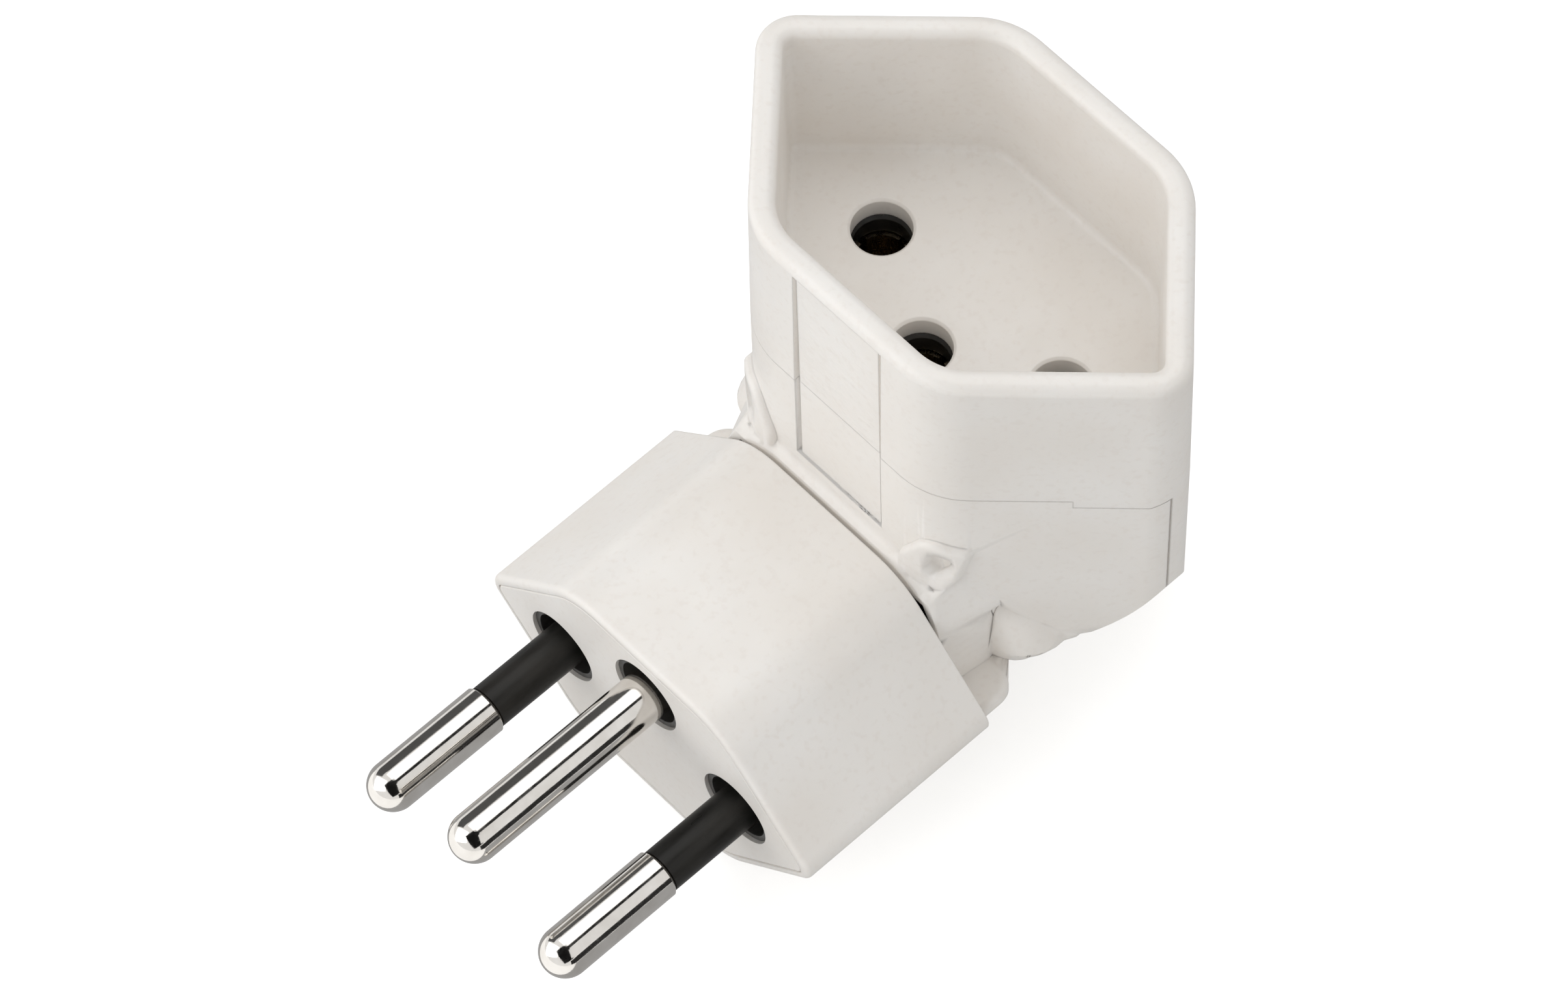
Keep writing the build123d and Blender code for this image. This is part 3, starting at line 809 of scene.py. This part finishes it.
@dataclass
class Housing:
    """White shells and face plate, and the black carrier that shows in the wells."""

    tail: EasedTail = field(default_factory=EasedTail)
    shell: MouldedWhite = MouldedWhite()
    collar: MouldedWhite = MouldedWhite("Collar plastic", uneven=True)
    plate: MouldedWhite = MouldedWhite("Face plate plastic", edge=0.05, smooth=0.36, dull=0.46)
    carrier: InsulatorBlack = InsulatorBlack(
        "Carrier plastic", tone=(0.085, 0.082, 0.078), drawn=(1.0, 0.5, 1.0), dull=0.36, shine=0.6
    )

    def dress(self) -> list[bpy.types.Object]:
        """Gives the shells and the carrier their finishes.

        Returns:
            The dressed nodes.
        """
        finishes: dict[str, Finish] = {
            "plug_shell": self.shell,
            "socket_collar": self.collar,
            "pin_face_plate": self.plate,
            "pin_carrier": self.carrier,
        }
        dressed = dress_nodes(finishes)
        lower = self.tail.build(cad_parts["plug_shell"].data.materials[0])
        return [*dressed, lower]


@dataclass
class ContactWork:
    """What lies inside: carriers, contact tubes with their springs, and the bent strips."""

    black: InsulatorBlack = InsulatorBlack("Contact carrier plastic", drawn=(1.0, 1.0, 0.3))
    tray: MouldedWhite = MouldedWhite(
        "Tray plastic", (0.70, 0.66, 0.56), (0.66, 0.61, 0.50), (0.60, 0.55, 0.45), dull=0.5, edge=0.08
    )
    brass: PlatedMetal = PlatedMetal(
        "Pressed brass", (0.50, 0.41, 0.27), (0.36, 0.28, 0.18), smooth=0.22, dull=0.4, drawn=(1.0, 1.0, 0.06)
    )
    steel: PlatedMetal = PlatedMetal(
        "Spring steel", (0.56, 0.56, 0.57), (0.47, 0.47, 0.49), smooth=0.22, dull=0.34, drawn=(1.0, 1.0, 0.2)
    )

    def dress(self) -> list[bpy.types.Object]:
        """Gives the inner pieces their finishes.

        Returns:
            The dressed nodes.
        """
        finishes: dict[str, Finish] = {"contact_carrier": self.black, "strip_tray": self.tray}
        for pole in ("live", "neutral", "earth"):
            finishes[f"{pole}_contact"] = self.brass
            finishes[f"{pole}_strip"] = self.brass
            finishes[f"{pole}_contact_spring"] = self.steel
        return dress_nodes(finishes)


def dress_nodes(finishes: dict[str, Finish]) -> list[bpy.types.Object]:
    """Puts a material on CAD nodes and leaves their shape alone.

    Args:
        finishes: The finish of each node, by the node's name.

    Returns:
        The dressed nodes.
    """
    materials: dict[Finish, bpy.types.Material] = {}
    dressed = []
    for name, finish in finishes.items():
        if finish not in materials:
            materials[finish] = finish.material()
        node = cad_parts[name]
        node.data.materials.clear()
        node.data.materials.append(materials[finish])
        dressed.append(node)
    return dressed


@dataclass(frozen=True)
class Panel:
    """A lamp or card that stands off the pins and faces them.

    Attributes:
        name: Its name.
        turn: How far it leans from straight above the pins towards +X, in degrees.
        lean: How far it leans towards +Y, in degrees.
        away: Its distance from the pins, in millimetres.
        size: Its width across the pins and its length along them, in millimetres.
        light: A lamp's watts, or how bright a card looks.
    """

    name: str
    turn: float
    lean: float
    away: float
    size: Point2
    light: float

    def matrix(self, target: Vector) -> Matrix:
        """Place and turn in the studio.

        Args:
            target: The point it faces.

        Returns:
            The object's matrix.
        """
        turn, lean = math.radians(self.turn), math.radians(self.lean)
        outward = Vector((math.cos(lean) * math.sin(turn), math.sin(lean), math.cos(lean) * math.cos(turn)))
        across = Vector((math.cos(turn), 0.0, -math.sin(turn)))
        turned = Matrix((across, outward.cross(across), outward)).transposed().to_4x4()
        return Matrix.Translation(target + outward * self.away * MM) @ turned


@dataclass
class Studio:
    """Pale floor, soft lamps, cards that the plated pins mirror, and the camera."""

    target: Point3 = (0.0, -12.0, 2.0)
    floor_size: float = 3600.0
    floor_tone: Colour = (0.86, 0.86, 0.855)
    floor_light: float = 0.5
    sky_light: float = 0.59
    sky_tone: Colour = (1.0, 0.995, 0.985)
    lamps: tuple[Panel, ...] = (
        Panel("Upper lamp", -11.0, 19.0, 500.0, (400.0, 420.0), 0.4),
        Panel("Right lamp", 46.5, 19.0, 500.0, (394.0, 420.0), 0.06),
        Panel("Front lamp", -38.0, -48.0, 620.0, (700.0, 560.0), 1.6),
    )
    cards: tuple[Panel, ...] = (
        Panel("Band card", 46.5, 19.0, 450.0, (320.0, 700.0), 0.94),
        Panel("Gap card", 18.5, 19.0, 430.0, (90.0, 700.0), 0.02),
        Panel("Right card", 88.0, 19.0, 440.0, (286.0, 700.0), 0.03),
        Panel("Left card", -60.0, 19.0, 440.0, (330.0, 700.0), 0.1),
        Panel("Camera card", 34.0, -22.0, 470.0, (640.0, 520.0), 0.01),
    )
    # Grey sheet of painted shade: the floor darkened near and behind the adapter, seen only in reflections. Its
    # size, shift towards +Y and brightness.
    painted_shade_size: float = 460.0
    painted_shade_shift: float = 205.0
    painted_shade_light: float = 0.42
    eye: Point3 = (197.4, -158.5, 470.3)
    right: Point3 = (0.684, 0.7292, -0.0198)
    up: Point3 = (-0.6244, 0.5992, 0.501)
    lens: float = 164.44
    sensor: float = 36.0
    clip: Point2 = (10.0, 10000.0)
    painted_shade_lift: float = 0.02

    def build(self) -> None:
        """Sets the whole studio up."""
        self.sky()
        self.floor()
        target = Vector(self.target) * MM
        for lamp in self.lamps:
            self.lamp(lamp, target)
        for card in self.cards:
            self.card(card, target)
        self.camera()
        bpy.context.scene.view_settings.view_transform = "Standard"

    def seen_white(self, sheet: NodeSheet) -> bpy.types.NodeSocket:
        """One for rays that show the backdrop to the camera, by itself or in a shiny surface.

        Args:
            sheet: The tree it goes into.

        Returns:
            The mask.
        """
        rays = sheet.add("ShaderNodeLightPath").outputs
        shiny = sheet.math("MAXIMUM", rays["Is Glossy Ray"], rays["Is Transmission Ray"])
        return sheet.math("MAXIMUM", rays["Is Camera Ray"], shiny)

    def sky(self) -> None:
        """Even light from all round, which shows as white."""
        world = bpy.data.worlds.new("Studio")
        world.use_nodes = True
        world.node_tree.nodes.clear()
        bpy.context.scene.world = world
        sheet = NodeSheet(world.node_tree)
        soft = sheet.add("ShaderNodeBackground", {"Color": (*self.sky_tone, 1.0), "Strength": self.sky_light})
        white = sheet.add("ShaderNodeBackground", {"Color": WHITE, "Strength": 1.0})
        shares = {0: self.seen_white(sheet), 1: soft.outputs[0], 2: white.outputs[0]}
        mixed = sheet.add("ShaderNodeMixShader", shares)
        sheet.add("ShaderNodeOutputWorld", {"Surface": mixed.outputs[0]})

    def floor(self) -> None:
        """Pale floor that keeps the adapter's shadow, and a grey sheet of painted shade, the floor darkened
        near the adapter, which only the pins' reflections show.
        """
        height = cad_box[0].z
        size = (self.floor_size, self.floor_size)
        floor = self.flat("Floor", size, Matrix.Translation((0.0, 0.0, height)))
        sheet = self.dressed(floor, "Floor paper")
        matt = sheet.add("ShaderNodeBsdfDiffuse", {"Color": (*self.floor_tone, 1.0)})
        strength = sheet.math("MULTIPLY", self.seen_white(sheet), self.floor_light)
        glow = sheet.add("ShaderNodeEmission", {"Color": WHITE, "Strength": strength})
        both = sheet.add("ShaderNodeAddShader", {0: matt.outputs[0], 1: glow.outputs[0]})
        sheet.add("ShaderNodeOutputMaterial", {"Surface": both.outputs[0]})
        # Grey sheet of painted shade that stands for the floor darkened near the adapter; only glossy rays see
        # it.
        place = Matrix.Translation((0.0, self.painted_shade_shift * MM, height + self.painted_shade_lift * MM))
        painted_shade_sheet = self.flat("Painted shade sheet", (self.painted_shade_size, self.painted_shade_size), place)
        self.only_mirrored(painted_shade_sheet, self.painted_shade_light)

    def flat(self, name: str, size: Point2, place: Matrix) -> bpy.types.Object:
        """A rectangle that isn't part of the adapter.

        Args:
            name: Its name.
            size: Its two sides, in millimetres.
            place: Where its middle lies and how it is turned.

        Returns:
            The rectangle.
        """
        width, length = (side * MM / 2 for side in size)
        corners = [(-width, -length, 0.0), (width, -length, 0.0), (width, length, 0.0), (-width, length, 0.0)]
        mesh = bpy.data.meshes.new(name)
        mesh.from_pydata([place @ Vector(corner) for corner in corners], [], [(0, 1, 2, 3)])
        rectangle = bpy.data.objects.new(name, mesh)
        bpy.context.scene.collection.objects.link(rectangle)
        return rectangle

    def dressed(self, surface: bpy.types.Object, name: str) -> NodeSheet:
        """Gives a surface a material with an empty tree.

        Args:
            surface: The surface.
            name: The material's name.

        Returns:
            The tree.
        """
        material = bpy.data.materials.new(name)
        material.use_nodes = True
        material.node_tree.nodes.clear()
        surface.data.materials.append(material)
        return NodeSheet(material.node_tree)

    def only_mirrored(self, card: bpy.types.Object, light: float) -> None:
        """Gives a card a plain brightness and leaves it to reflections only.

        Args:
            card: The card.
            light: How bright it looks.
        """
        sheet = self.dressed(card, f"{card.name} tone")
        glow = sheet.add("ShaderNodeEmission", {"Color": WHITE, "Strength": light})
        sheet.add("ShaderNodeOutputMaterial", {"Surface": glow.outputs[0]})
        for kind in RayKind:
            setattr(card, kind.value, kind is RayKind.GLOSSY)

    def lamp(self, panel: Panel, target: Vector) -> None:
        """Sets up a soft rectangular lamp.

        Args:
            panel: Its place, size and watts.
            target: The point it faces.
        """
        data = bpy.data.lights.new(panel.name, "AREA")
        data.shape = "RECTANGLE"
        data.size, data.size_y = (length * MM for length in panel.size)
        data.energy = panel.light
        lamp = bpy.data.objects.new(panel.name, data)
        bpy.context.scene.collection.objects.link(lamp)
        lamp.matrix_world = panel.matrix(target)
        setattr(lamp, RayKind.CAMERA.value, False)

    def card(self, panel: Panel, target: Vector) -> None:
        """Sets up a card that only reflections show.

        Args:
            panel: Its place, size and brightness.
            target: The point it faces.
        """
        self.only_mirrored(self.flat(panel.name, panel.size, panel.matrix(target)), panel.light)

    def camera(self) -> None:
        """Camera with a long lens, above and in front of the socket's left side."""
        data = bpy.data.cameras.new("Camera")
        data.lens = self.lens
        data.sensor_width = self.sensor
        data.sensor_fit = "HORIZONTAL"
        data.clip_start, data.clip_end = (distance * MM for distance in self.clip)
        camera = bpy.data.objects.new("Camera", data)
        bpy.context.scene.collection.objects.link(camera)
        right, up = Vector(self.right).normalized(), Vector(self.up).normalized()
        turned = Matrix((right, up, right.cross(up))).transposed().to_4x4()
        camera.matrix_world = Matrix.Translation(Vector(self.eye) * MM) @ turned
        bpy.context.scene.camera = camera


def main() -> None:
    """Builds and dresses the adapter, and sets up the studio round it."""
    logging.basicConfig(level=logging.INFO, format="%(name)s: %(message)s")
    groups = {
        "pins": PinSet().build(TurnedPartNodes()),
        "housing": Housing().dress(),
        "contact work": ContactWork().dress(),
    }
    for group, pieces in groups.items():
        for piece in pieces:
            log.info("%s: %s, %d faces", group, piece.name, len(piece.data.polygons))
    Studio().build()


if __name__ == "__main__":
    main()
